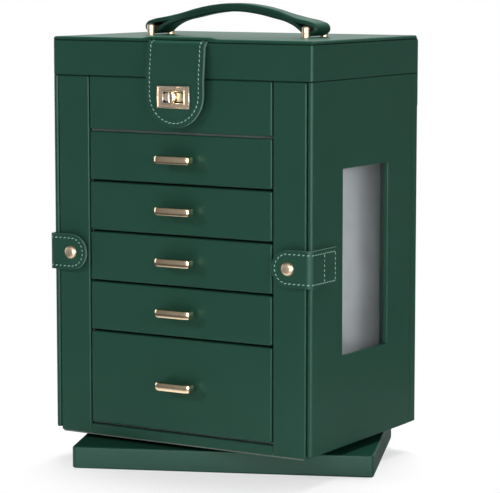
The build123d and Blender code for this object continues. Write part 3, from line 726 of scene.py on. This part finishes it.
def straight_row(bm, start, end, out, size):
    """Stitches in a straight row between two points."""
    start, end, out = Vector(start), Vector(end), Vector(out)
    count = max(1, round((end - start).length / size[0]))
    for number in range(count):
        at = start.lerp(end, (number + 0.5) / count)
        stitch(bm, at, end - start, out, size)


def round_row(bm, centre, first, out, axis, angle, size):
    """Stitches along an arc from the arm `first`; `out` is None where the arm itself points out."""
    arm = Vector(first)
    count = max(1, round(arm.length * abs(angle) / size[0]))
    for number in range(count):
        reached = Matrix.Rotation(angle * (number + 0.5) / count, 3, axis) @ arm
        along = Vector(axis).cross(reached)
        stitch(bm, Vector(centre) + reached, along, Vector(out) if out else reached.normalized(), size)


def tongue_stitches(width, reach, root, thick, gap, bend, bow, inset, size, cross_rows):
    """Rows of stitches round a tongue, with rows across its root at the given distances from the edge."""
    bm = bmesh.new()
    half = width / 2 - inset
    tip_z = -(reach - width / 2)
    front, top = -gap - thick, thick
    for x in (-half, half):
        straight_row(bm, (x, root - inset, top), (x, bend - gap, top), (0, 0, 1), size)
        round_row(bm, (x, bend - gap, -bend), (0, 0, bend + thick), None, (1, 0, 0), pi / 2, size)
        straight_row(bm, (x, front, -bend), (x, front, tip_z), (0, -1, 0), size)
    round_row(bm, (0, front, tip_z), (half, 0, 0), (0, -1, 0), (0, 1, 0), pi, size)
    for level in cross_rows:
        straight_row(bm, (-half, level, top), (half, level, top), (0, 0, 1), size)
    bow_out(bm, *bow)
    return bm


def sew_on(name, shape, place, sewing, stands_for, hole=None):
    """Make a tongue and its stitches in their place, and bend both at one fold."""
    leather = tongue(**shape, hole=hole)
    rows = tongue_stitches(**shape, **sewing)
    for kind, bm, finishes, nodes in (("leather", leather, [strap_green, cut_edge_and_highlight], stands_for),
                                      ("stitches", rows, [thread], ())):
        bmesh.ops.transform(bm, matrix=place, verts=bm.verts[:])
        piece = keep(f"{name}_{kind}", bm, finishes, stands_for=nodes)
        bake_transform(piece)


print("stitch helpers ready")

# %% [markdown]
# The clasp flap is the large tongue in the middle of the lid. Its root is held in the groove under the
# lid's top board; from there it folds down and bows away from the front, because the lock behind it stands
# proud. A hole is left in it behind the metal plate, so the lock can come through.

# %% Clasp flap
flap_gap, flap_bend = 2.0 * mm, 3.6 * mm
flap_sink = 0.3 * mm
bow_length = 31.6 * mm
hole_size = (24.0 * mm, 15.0 * mm)
flap_sewing = dict(inset=4.0 * mm, size=(4.0 * mm, 1.55 * mm, 0.42 * mm), cross_rows=())
low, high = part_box("clasp_flap")
root_low, root_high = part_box("clasp_flap_root")
plate_low, plate_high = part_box("clasp_plate")
lock_z = (plate_low.z + plate_high.z) / 2
edge_y, edge_z = root_low.y, root_low.z + lift + board_rise.z - flap_sink
flap_thick = root_high.z - root_low.z
flap_stand = edge_y - plate_high.y - flap_thick - flap_gap
flap = dict(width=high.x - low.x, reach=edge_z - low.z, root=root_high.y - edge_y, thick=flap_thick,
            gap=flap_gap, bend=flap_bend, bow=(bow_length, flap_stand))
fold_at = Vector((0.0, edge_y, edge_z))
sew_on("clasp_flap", flap, Matrix.Translation(fold_at), flap_sewing, ["clasp_flap", "clasp_flap_root"],
       hole=(lock_z - edge_z, *hole_size))

# %% [markdown]
# A door tab is the small tongue: its root is sewn on the door with two rows across, it folds round the
# door's front edge, and a snap on its tip holds it to the front. It could be modelled again in place, but
# the drawing is the same, turned so that the tongue lies sideways; the left one is turned the other way.

# %% Door tabs
tab_bend, tab_inset = 3.2 * mm, 3.3 * mm
tab_stitch = (4.0 * mm, 1.35 * mm, 0.42 * mm)
no_bow = (1.0, 0.0)
for hand, side in (("right", 1), ("left", -1)):
    low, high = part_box(f"{hand}_tab_strap")
    root_low, root_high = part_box(f"{hand}_tab_root")
    door_low, door_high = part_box(f"{hand}_door_panel")
    edge_x = side * max(abs(door_low.x), abs(door_high.x))
    edge_y, fold_y = door_low.y, high.y
    tip_x = min(abs(low.x), abs(high.x))
    tab_thick = abs(root_high.x - root_low.x)
    tab = dict(width=high.z - low.z, reach=abs(edge_x) - tip_x, root=root_high.y - edge_y, thick=tab_thick,
               gap=edge_y - low.y - tab_thick, bend=tab_bend, bow=no_bow)
    tab_rows = (root_low.y - edge_y, tab["root"] - tab_inset)
    turn = Matrix(((0, 0, side), (0, 1, 0), (-side, 0, 0))).to_4x4()
    onto_door = Matrix.Translation((edge_x, edge_y, (low.z + high.z) / 2)) @ turn
    sew_on(f"{hand}_tab", tab, onto_door, dict(inset=tab_inset, size=tab_stitch, cross_rows=tab_rows),
           [f"{hand}_tab_root", f"{hand}_tab_strap"])

# %% [markdown]
# The snap cap is a plain, low dome of satin metal. A squashed sphere would be too thin at its rim, so it
# comes from a profile, as round things do on a lathe: a few points from the axis outwards, joined by
# edges and spun through a full turn. The same helper turns the posts of the handle.


# %% Snap caps
def join(bm, part):
    """Add a finished part to a bmesh."""
    mesh = bpy.data.meshes.new("part")
    part.to_mesh(mesh)
    part.free()
    bm.from_mesh(mesh)
    bpy.data.meshes.remove(mesh)


def turned(bm, profile, place):
    """Spin a profile of (radius, height) points in mm about its axis and add it in its place."""
    part = bmesh.new()
    dots = [part.verts.new((radius * mm, 0, height * mm)) for radius, height in profile]
    line = [part.edges.new(pair) for pair in zip(dots, dots[1:])]
    bmesh.ops.spin(part, geom=dots + line, cent=(0, 0, 0), axis=(0, 0, 1), angle=2 * pi, steps=40,
                   use_merge=True)
    bmesh.ops.remove_doubles(part, verts=part.verts[:], dist=0.1 * touch)
    bmesh.ops.transform(part, matrix=place, verts=part.verts[:])
    join(bm, part)


cap_profile = [(0.0, 2.7), (2.4, 2.64), (3.5, 2.5), (4.2, 2.25), (4.8, 1.88), (5.3, 1.4), (5.7, 0.85),
               (6.0, 0.0), (0.0, 0.0)]
for hand in ("right", "left"):
    low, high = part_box(f"{hand}_snap_cap")
    middle = (low + high) / 2
    bm = bmesh.new()
    turned(bm, cap_profile, Matrix.Translation((middle.x, high.y, middle.z)) @ upright)
    keep(f"{hand}_snap_dome", bm, [satin_gold], f"{hand}_tab", [f"{hand}_snap_cap"])

# %% [markdown]
# A drawer pull is a short metal bar, held off the drawer by two posts. Polished metal shows the room and
# little else, so its facets are what one sees of it. They are real faces: the front corners are cut to
# long slopes, the long edges have broad bevels, and each facet shows another part of the room.

# %% Drawer pulls
post_spacing = 18.0 * mm
pull_post = 2.3 * mm
bar_depth = 9.5 * mm
bar_bevel = 2.1 * mm
bar_corner, bar_slope = 4.0 * mm, 2.1 * mm
bar_spare = Vector((1.6 * mm, 0.0, 0.0))


def rod(bm, at, radius, length, sides=24):
    """A round rod from front to back, centred at a point."""
    bmesh.ops.create_cone(bm, cap_ends=True, segments=sides, radius1=radius, radius2=radius, depth=length,
                          matrix=Matrix.Translation(at) @ upright)


for number in drawers:
    low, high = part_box(f"drawer_{number}_pull")
    low, high = low - bar_spare, high + bar_spare
    bar_back = low.y + bar_depth
    bm = bmesh.new()
    edges = block(bm, low, Vector((high.x, bar_back, high.z)))
    round_over(bm, [edge for edge in edges if runs_along(edge, Z) and lies_at(edge, Y, low.y)], bar_corner, 1)
    for vert in bm.verts:
        if abs(vert.co.y - low.y - bar_corner) < touch:
            vert.co.y = low.y + bar_slope
    for level in (low.z, high.z):
        round_over(bm, edges_at(bm, Z, level), bar_bevel, 2)
    for side in (-0.5, 0.5):
        post_at = (side * post_spacing, (bar_back + high.y) / 2, (low.z + high.z) / 2)
        rod(bm, post_at, pull_post, high.y - bar_back)
    keep(f"drawer_{number}_pull_bar", bm, [gold], f"drawer_{number}", [f"drawer_{number}_pull"])

# %% [markdown]
# The lock is a small turn clasp. Its plate has a raised rim and a second rim round the slot, both in a
# paler gold as a painted highlight, with a satin face between them. One block with insets would give the
# steps, but not the rounded tops of the rims, so plate and rims are three frames from the same helper as
# the doors, one in another.

# %% Lock plate
plate_thick = 1.2 * mm
slot_half = Vector((9.7 * mm, 0.0, 4.6 * mm))
rim = Vector((1.3 * mm, 0.0, 1.3 * mm))
slot_rim = Vector((1.5 * mm, 0.0, 1.5 * mm))
plate_round, rim_round, slot_round = 0.2 * mm, 0.62 * mm, 0.6 * mm
low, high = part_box("clasp_plate")
plate_half = (high - low) / 2


def metal_frame(bm, half_outer, half_inner, face, radius):
    """A flat frame from the plate's back to a depth, with its front edges rounded."""
    corners = [Vector((sign * half.x, depth, lock_z + sign * half.z))
               for half in (half_outer, half_inner) for sign, depth in ((-1, face), (1, high.y))]
    outer, inner = open_board(bm, *corners, Y)
    round_over(bm, [edge for edge in outer + inner if lies_at(edge, Y, face)], radius, 2)


bm = bmesh.new()
metal_frame(bm, plate_half, slot_half, high.y - plate_thick, plate_round)
paint(bm.faces, 1)
# The two rims take the paler gold, a painted highlight.
metal_frame(bm, plate_half, plate_half - rim, low.y, rim_round)
metal_frame(bm, slot_half + slot_rim, slot_half, low.y, slot_round)
keep("lock_plate", bm, [rim_gold_highlight, satin_gold], "flap", ["clasp_plate"])

# %% [markdown]
# The turning tab is an oval button on a round stem. A cylinder is stretched to the oval, its front edge is
# rounded over, and its face is dished by an inset, so a bright rim is left round a darker middle. A bump
# in the finish could hint at the dish, but the rim would not stand out from the side.

# %% Turning tab
knob_thick = 3.0 * mm
knob_round = 1.0 * mm
knob_rim, knob_dish = 0.8 * mm, 0.6 * mm
stem_radius = 2.4 * mm
low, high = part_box("turn_knob")
knob_back = low.y + knob_thick
bm = bmesh.new()
oval = Matrix.Diagonal((high.x - low.x, knob_thick, high.z - low.z, 1.0))
knob_place = Matrix.Translation((0, low.y + knob_thick / 2, lock_z)) @ oval @ upright
bmesh.ops.create_cone(bm, cap_ends=True, segments=40, radius1=0.5, radius2=0.5, depth=1.0, matrix=knob_place)
bm.normal_update()
round_over(bm, edges_at(bm, Y, low.y), knob_round, 3)
disc = min(bm.faces, key=lambda face: face.calc_center_median().y)
bmesh.ops.inset_individual(bm, faces=[disc], thickness=knob_rim, depth=-knob_dish)
rod(bm, (0, (knob_back + high.y) / 2, lock_z), stem_radius, high.y - knob_back, sides=32)
keep("lock_turning_tab", bm, [gold], "lock_tab", ["turn_knob"])

# %% [markdown]
# The handle is one long leather strap. It lies double along the grip, and at each end it opens and runs
# round a metal bar, so a wedge of air shows inside each loop. Its outer line is a closed curve through a
# few points of one quarter, in millimetres over the lid, the rest being its mirror image; a strap in use
# leans, so the grip is moved a little to the right. A curve's own bevel would give the strap one width,
# so Blender only reads points from the curve here.

# %% Handle outline
top_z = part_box("lid_top")[1].z
loop_x, loop_z = 79.3, 7.2
loop_long, loop_tall = 8.6, 6.2
strap_lean = 2.0
over = [(0.0, 28.4), (20.0, 27.1), (40.0, 23.4), (55.0, 19.2), (66.0, 16.4)]
around = [(loop_x + loop_long * cos(radians(turn)), loop_z + loop_tall * sin(radians(turn)))
          for turn in (75, 38, 0, -40, -80, -120)]
under = [(67.0, 7.2), (58.0, 11.2), (40.0, 15.6), (20.0, 19.5), (0.0, 21.05)]
quarter = over + around + under
route = quarter + [(-x, z) for x, z in reversed(quarter[1:-1])]
curve = bpy.data.curves.new("handle_route", "CURVE")
curve.dimensions = "3D"
curve.resolution_u = 8
spline = curve.splines.new("BEZIER")
spline.bezier_points.add(len(route) - 1)
spline.use_cyclic_u = True
for dot, (x, z) in zip(spline.bezier_points, route):
    x += strap_lean * (1.0 - min(1.0, abs(x) / loop_x) ** 2)
    dot.co = (x * mm, 0.0, top_z + z * mm)
    dot.handle_left_type = dot.handle_right_type = "AUTO"
route_object = bpy.data.objects.new("handle_route", curve)
path = bpy.data.meshes.new_from_object(route_object)
bpy.data.objects.remove(route_object)
print("handle outline:", len(path.vertices), "points")

# %% [markdown]
# The outline is extruded to a ribbon, and each side is drawn in or out to the strap's width there, because
# the strap widens towards its loops. Solidify gives it thickness inwards. Only the outer edges are
# rounded, as a strap's are that is worn by hands; the inner edges stay square and meet along the grip.

# %% Handle strap
layer = 3.65 * mm
grip_half, loop_half = 7.5 * mm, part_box("handle_strap")[1].y
flare_start, flare_end = 46.0 * mm, 72.0 * mm
strap_round = 2.0 * mm


def strap_half(x):
    """Half the strap's width at a distance from the middle of the handle."""
    flare = smooth_step((abs(x) - flare_start) / (flare_end - flare_start))
    return grip_half + (loop_half - grip_half) * flare


bm = bmesh.new()
bm.from_mesh(path)
bpy.data.meshes.remove(path)
bmesh.ops.translate(bm, vec=(0, -1.0, 0), verts=bm.verts[:])
draw_out(bm, bm.edges[:], (0, 2.0, 0))
for vert in bm.verts:
    vert.co.y *= strap_half(vert.co.x)
face_way(bm, Z, (0, 0, 1))
sheet = set(bm.faces)
lining = set(bmesh.ops.solidify(bm, geom=bm.faces[:], thickness=layer)["geom"])
# The inner layer takes the strap back's painted shade.
for face in set(bm.faces) - sheet:
    # The other new faces, the sides, take the darker green of painted shade.
    face.material_index = 1 if face in lining else 2
bmesh.ops.recalc_face_normals(bm, faces=bm.faces[:])
outer_rims = [edge for edge in sharp_edges(bm) if sheet & set(edge.link_faces)]
round_over(bm, outer_rims, strap_round, 4)
keep("handle_strap_leather", bm, [strap_green, shaded_strap_back, shaded_strap_edge], "lid",
     ["handle_strap"])

# %% [markdown]
# Each loop hangs on a bar between two round-topped posts of satin metal. The posts are turned from a
# profile, and the bar is a plain rod whose ends are buried in them, so no joint has to be modelled.

# %% Handle brackets
post_profile = [(0.0, 9.7), (1.9, 9.65), (2.7, 9.3), (3.2, 8.7), (3.4, 8.0), (3.4, 0.0), (0.0, 0.0)]
post_inset = 3.1 * mm
bar_radius, bar_rise = 1.8 * mm, 6.8 * mm
low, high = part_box("handle_brackets")
post_x, post_y = high.x - post_inset, high.y - post_inset
bm = bmesh.new()
for x in (-post_x, post_x):
    for y in (-post_y, post_y):
        turned(bm, post_profile, Matrix.Translation((x, y, low.z)))
    rod(bm, (x, 0, low.z + bar_rise), bar_radius, 2 * post_y)
keep("handle_bracket_posts", bm, [satin_gold], "lid", ["handle_brackets"])

# %% [markdown]
# The ring cushions are seven padded rolls in velvet, side by side, with a slot between each two. A rounded
# bar would look hard, because a cushion has no flat side but the one it lies on. So a finely divided
# block is smoothed until its corners draw in, and then stretched back to the roll's size.

# %% Ring cushions
roll_count = 7
cushion_cuts, smoothings = 9, 5
half_cube = Vector((0.5, 0.5, 0.5))
low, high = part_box("ring_cushions")
roll_pitch = (high.y - low.y) / roll_count
bm = bmesh.new()
for number in range(roll_count):
    roll_low = Vector((low.x, low.y + number * roll_pitch, low.z))
    roll_high = Vector((high.x, low.y + (number + 1) * roll_pitch, high.z))
    part = bmesh.new()
    edges = block(part, -half_cube, half_cube)
    bmesh.ops.subdivide_edges(part, edges=edges, cuts=cushion_cuts, use_grid_fill=True)
    for _ in range(smoothings):
        bmesh.ops.smooth_vert(part, verts=part.verts[:], factor=0.5,
                              use_axis_x=True, use_axis_y=True, use_axis_z=True)
    reach = max(vert.co.x for vert in part.verts)
    stretch = Matrix.Diagonal((*(roll_high - roll_low), 1.0)) @ Matrix.Scale(0.5 / reach, 4)
    roll_place = Matrix.Translation(roll_low.lerp(roll_high, 0.5)) @ stretch
    bmesh.ops.transform(part, matrix=roll_place, verts=part.verts[:])
    join(bm, part)
rolls = keep("ring_cushion_rolls", bm, [velvet], "cabinet", ["ring_cushions"])

# %% [markdown]
# What is left of the CAD model keeps its own mesh, because it is already exact: trays, dividers, shelves,
# panes, the mirror and the bearing. It could be modelled again, but nothing would be gained; it only
# needs its finish. Every slot of such a node is filled.


# %% Finishes of the CAD pieces that stay
def dress(finish, *nodes):
    """Give CAD nodes a finish."""
    for node in nodes:
        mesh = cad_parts[node].data
        mesh.materials.clear()
        mesh.materials.append(finish)


dress(velvet, "top_tray", "left_inner_wall", "right_inner_wall", "lid_lining")
dress(velvet, *[f"drawer_{number}_tray" for number in drawers])
dress(velvet, *[f"drawer_{number}_dividers" for number in drawers[:3]])
# Near-black shelves: painted shade in the gaps between the drawers.
dress(shaded_board, "drawer_shelves")
dress(pane, "left_window_pane", "right_window_pane")
dress(silvering, "lid_mirror")
dress(gold, "left_necklace_rail", "right_necklace_rail", "snap_studs")
dress(satin_gold, "lock_boss")
dress(steel, "bearing_lower_race", "bearing_upper_race", "bearing_balls")
dress(steel, "lower_race_screws", "upper_race_screws")
print("CAD pieces dressed")

# %% [markdown]
# The stage is a pale floor. The floor is lit like everything else, so it keeps the object's shadow, and for
# the camera it fades to plain white some way off, so that no horizon shows. A shiny surface sees it as a
# white sheet instead, brighter close before the box, as where a studio's light falls on a table.

# %% Floor
floor_radius = 1.0
bm = bmesh.new()
bmesh.ops.create_circle(bm, cap_ends=True, segments=96, radius=floor_radius)
mesh = bpy.data.meshes.new("studio_floor")
bm.to_mesh(mesh)
bm.free()
floor = bpy.data.objects.new("studio_floor", mesh)
bpy.context.scene.collection.objects.link(floor)


def glide(tree, value, start, end, first, last):
    """Go smoothly from a first level to a last one while a value goes from start to end."""
    return add_node(tree, "MapRange", {"interpolation_type": "SMOOTHSTEP"}, Value=value, From_Min=start,
                    From_Max=end, To_Min=first, To_Max=last).outputs["Result"]


pale_floor, tree, shader, place = start_finish("pale_floor")
fill_named(tree, shader, Base_Color=(0.90, 0.90, 0.90, 1.0), Roughness=0.9, Specular_IOR_Level=0.1)
away = add_node(tree, "VectorMath", {"operation": "LENGTH"}, Vector=place).outputs["Value"]
depth = add_node(tree, "SeparateXYZ", Vector=place).outputs["Y"]
near_fade = glide(tree, away, 0.10, 0.26, 0.6, 1.0)
far_fade = glide(tree, away, 0.22, 0.62, 1.0, 0.15)
front_glow = reckon(tree, "MULTIPLY", glide(tree, depth, -0.25, 0.0, 1.55, 0.0),
                    glide(tree, away, 0.15, 0.40, 1.0, 0.1))
back_glow = glide(tree, away, 0.15, 0.27, 0.2, 0.45)
glow = reckon(tree, "MULTIPLY", far_fade, reckon(tree, "ADD", back_glow, front_glow))
ray = tree.nodes.new("ShaderNodeLightPath").outputs
to_camera = reckon(tree, "MULTIPLY", near_fade, ray["Is Camera Ray"])
seen = reckon(tree, "MAXIMUM", to_camera, ray["Is Glossy Ray"])
veiled = reckon(tree, "SUBTRACT", 1.0, ray["Is Camera Ray"])
brightness = reckon(tree, "ADD", reckon(tree, "MULTIPLY", glow, veiled), ray["Is Camera Ray"])
white = add_node(tree, "Emission", Color=(1.0, 1.0, 1.0, 1.0), Strength=brightness)
blend = tree.nodes.new("ShaderNodeMixShader")
for socket, value in zip(blend.inputs, (seen, shader.outputs["BSDF"], white.outputs["Emission"])):
    fill(tree, socket, value)
fill_named(tree, tree.nodes["Material Output"], Surface=blend.outputs["Shader"])
floor.data.materials.append(pale_floor)
print("floor ready")

# %% [markdown]
# The room is white for the camera and through the panes. Shiny things see walls of five greys instead: white
# behind the box at its left, dark at the sides and middle grey in front, as in a studio with black flags.
# A picture of a studio would do it too, but the greys can be tuned one by one. All else gets a low, even
# light.

# %% White room
bright_way = (-0.5, 0.85, 0.0)
wall_levels = ((0.20, 0.38), (0.38, 0.20), (0.60, 0.12), (0.85, 0.15), (0.96, 1.00))
wall_strength = 1.05
even_light = 0.18
world = bpy.data.worlds.new("white_room")
bpy.context.scene.world = world
world.use_nodes = True
tree = world.node_tree
ray = tree.nodes.new("ShaderNodeLightPath").outputs
toward = tree.nodes.new("ShaderNodeTexCoord").outputs["Generated"]
aside = add_node(tree, "VectorMath", {"operation": "DOT_PRODUCT"}, Vector=toward)
aside.inputs[1].default_value = bright_way
turn = add_node(tree, "MapRange", Value=aside.outputs["Value"], From_Min=-1.0, From_Max=1.0)
walls = add_node(tree, "ValToRGB", Fac=turn.outputs["Result"])
stops = walls.color_ramp.elements
for position, level in wall_levels[1:-1]:
    stops.new(position)
for stop, (position, level) in zip(stops, wall_levels):
    stop.position = position
    stop.color = (level, level, level, 1.0)
clear = reckon(tree, "MAXIMUM", ray["Is Camera Ray"], ray["Is Transmission Ray"])
mirrored = reckon(tree, "MULTIPLY", walls.outputs["Color"], wall_strength)
glossy = reckon(tree, "MULTIPLY", ray["Is Glossy Ray"], mirrored)
rest = reckon(tree, "SUBTRACT", 1.0, reckon(tree, "MAXIMUM", clear, ray["Is Glossy Ray"]))
ambient = reckon(tree, "MULTIPLY", rest, even_light)
strength = reckon(tree, "ADD", reckon(tree, "MAXIMUM", clear, glossy), ambient)
fill_named(tree, tree.nodes["Background"], Color=(1.0, 1.0, 1.0, 1.0), Strength=strength)
print("white room ready")

# %% [markdown]
# Four soft boxes light the object, and none of them shows in shiny surfaces, as if they were flagged off. The
# main one stands far off at the left, so the flap throws a shadow to the right; a small one stands near
# the front, one hangs over the lid, and a weak one fills the right side. Three cards do the opposite:
# they light nothing, and show only in the gloss of leather and metal. One lamp could do both, but then
# the shadows and the highlights couldn't be placed apart.

# %% Lamps
lamp_aim = Vector((0.0, 0.0, 0.2))


def soft_box(name, place, width, height, power, shines=True, shows=False):
    """A rectangular area lamp that looks at the box; it may light it, show in its gloss, or both."""
    lamp = bpy.data.lights.new(name, "AREA")
    lamp.shape = "RECTANGLE"
    lamp.size, lamp.size_y, lamp.energy = width, height, power
    holder = bpy.data.objects.new(name, lamp)
    holder.location = place
    holder.rotation_euler = (lamp_aim - Vector(place)).to_track_quat("-Z", "Y").to_euler()
    holder.visible_camera = False
    holder.visible_diffuse = shines
    holder.visible_glossy = shows
    bpy.context.scene.collection.objects.link(holder)


soft_box("front_soft_box", (-3.6, -4.6, 2.9), 0.7, 0.7, 134.0)
soft_box("near_soft_box", (0.62, -1.3, 0.60), 0.9, 0.9, 1.8)
soft_box("over_soft_box", (-0.2, 0.8, 2.3), 1.6, 1.6, 100.0)
soft_box("fill_soft_box", (2.4, -1.0, 0.8), 1.0, 1.0, 16.0)
soft_box("corner_card", (1.32, -1.88, 0.45), 2.6, 1.2, 95.0, shines=False, shows=True)
soft_box("right_card", (2.3, -0.24, 0.45), 1.3, 1.2, 19.0, shines=False, shows=True)
soft_box("left_card", (-2.3, -0.4, 0.45), 1.2, 1.2, 9.0, shines=False, shows=True)
print("lamps:", len(bpy.data.lights))

# %% [markdown]
# The camera stands where the photograph's did. It could be set by eye, but its place, tilt and lens were
# solved from the box's own corners, so the perspective is right as well as the angle.

# %% Camera
lens_pixels, picture_pixels = 2323.716, 500
look_down, look_round = 7.005, 31.187
lens = bpy.data.cameras.new("camera")
lens.sensor_width = 36.0
lens.lens = lens_pixels / picture_pixels * lens.sensor_width
lens.clip_end = 50.0
camera = bpy.data.objects.new("camera", lens)
camera.location = (1.066115, -1.738374, 0.43596)
camera.rotation_euler = (radians(90 - look_down), 0.0, radians(look_round))
bpy.context.scene.collection.objects.link(camera)
bpy.context.scene.camera = camera
bpy.context.scene.view_settings.view_transform = "Standard"
print("camera lens in mm:", round(lens.lens, 1))
